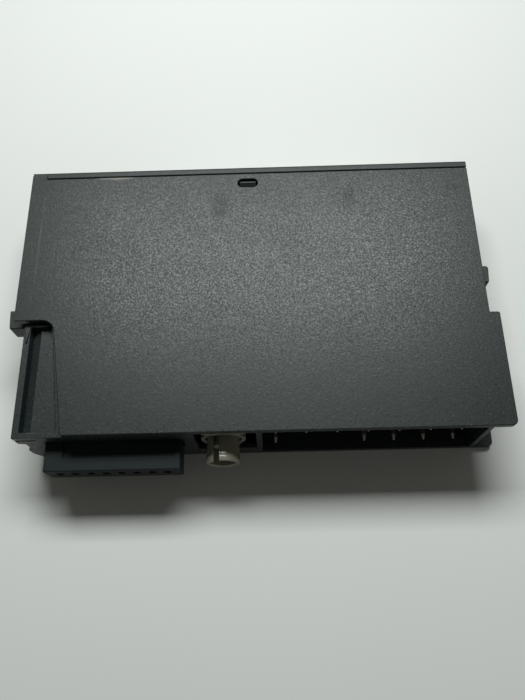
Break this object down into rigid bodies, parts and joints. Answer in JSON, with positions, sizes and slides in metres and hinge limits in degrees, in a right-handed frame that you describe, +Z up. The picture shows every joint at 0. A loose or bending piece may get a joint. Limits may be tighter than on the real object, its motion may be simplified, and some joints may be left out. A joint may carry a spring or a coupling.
{
  "type": "industrial i/o electronics module",
  "caption": "Slim plug-in electronics module in a grey housing, with rear bus connector, contact pins, coding key, side latches and a front label strip.",
  "frame": {"origin": "bottom centre of the bounding box, on the side face the module lies on", "axes": "+X along the long side towards the end with the guide ears, +Y from the rear connectors to the front face, +Z up through the thickness"},
  "size_m": [0.0852, 0.0568, 0.015],
  "materials": {
    "housing": "fine spark-eroded texture, anthracite grey",
    "connector": "smooth moulded, near black",
    "key": "smooth moulded, off-white",
    "key_base": "smooth moulded, grey beige",
    "contact_metal": "tin-plated, satin",
    "label": "blank label card",
    "light_pipe": "clear moulded",
    "lamp": "cast resin",
    "board": "solder resist",
    "epoxy": "moulded epoxy",
    "can": "satin sleeve"
  },
  "bodies": {
    "module": {"bus_connector": "connector", "bus_contact_1": "contact_metal", "bus_contact_2": "contact_metal", "bus_contact_3": "contact_metal", "bus_contact_4": "contact_metal", "bus_contact_5": "contact_metal", "bus_contact_6": "contact_metal", "bus_contact_7": "contact_metal", "bus_contact_8": "contact_metal", "capacitor_1": "can", "capacitor_2": "can", "circuit_board": "board", "coding_base": "key_base", "coil": "epoxy", "contact_pin_high_1": "contact_metal", "contact_pin_high_2": "contact_metal", "contact_pin_high_3": "contact_metal", "contact_pin_high_4": "contact_metal", "contact_pin_high_5": "contact_metal", "contact_pin_high_6": "contact_metal", "contact_pin_high_7": "contact_metal", "contact_pin_low_1": "contact_metal", "contact_pin_low_4": "contact_metal", "contact_pin_low_5": "contact_metal", "contact_pin_low_6": "contact_metal", "contact_pin_low_7": "contact_metal", "crystal": "contact_metal", "driver_chip_1": "epoxy", "driver_chip_2": "epoxy", "front_cap": "housing", "fuse": "epoxy", "housing_shell": "housing", "lamp_channel_1": "lamp", "lamp_channel_2": "lamp", "lamp_channel_3": "lamp", "lamp_channel_4": "lamp", "lamp_fault": "lamp", "light_pipe_channel_1": "light_pipe", "light_pipe_channel_2": "light_pipe", "light_pipe_channel_3": "light_pipe", "light_pipe_channel_4": "light_pipe", "light_pipe_fault": "light_pipe", "logic_chip": "epoxy", "optocoupler_1": "epoxy", "optocoupler_2": "epoxy", "optocoupler_3": "epoxy", "optocoupler_4": "epoxy", "pin_carrier": "connector", "side_cover": "housing"},
    "left_latch": {"latch_left": "housing"},
    "right_latch": {"latch_right": "housing"},
    "key": {"coding_key": "key"},
    "label": {"label_strip": "label"}
  },
  "joints": [
    {"name": "left_latch_hinge", "type": "hinge", "parent": "module", "child": "left_latch", "pos_m": [-0.03775, 0.02205, 0.0101], "axis": [0, 0, 1], "range_deg": [0, 2.5], "stiffness_Nm_per_rad": 0.5},
    {"name": "right_latch_hinge", "type": "hinge", "parent": "module", "child": "right_latch", "pos_m": [0.03775, 0.02205, 0.0101], "axis": [0, 0, -1], "range_deg": [0, 2.5], "stiffness_Nm_per_rad": 0.5},
    {"name": "coding_key_slide", "type": "slide", "parent": "module", "child": "key", "axis": [0, -1, 0], "range_m": [0, 0.009]},
    {"name": "label_strip_slide", "type": "slide", "parent": "module", "child": "label", "axis": [1, 0, 0], "range_m": [0, 0.057]}
  ]
}
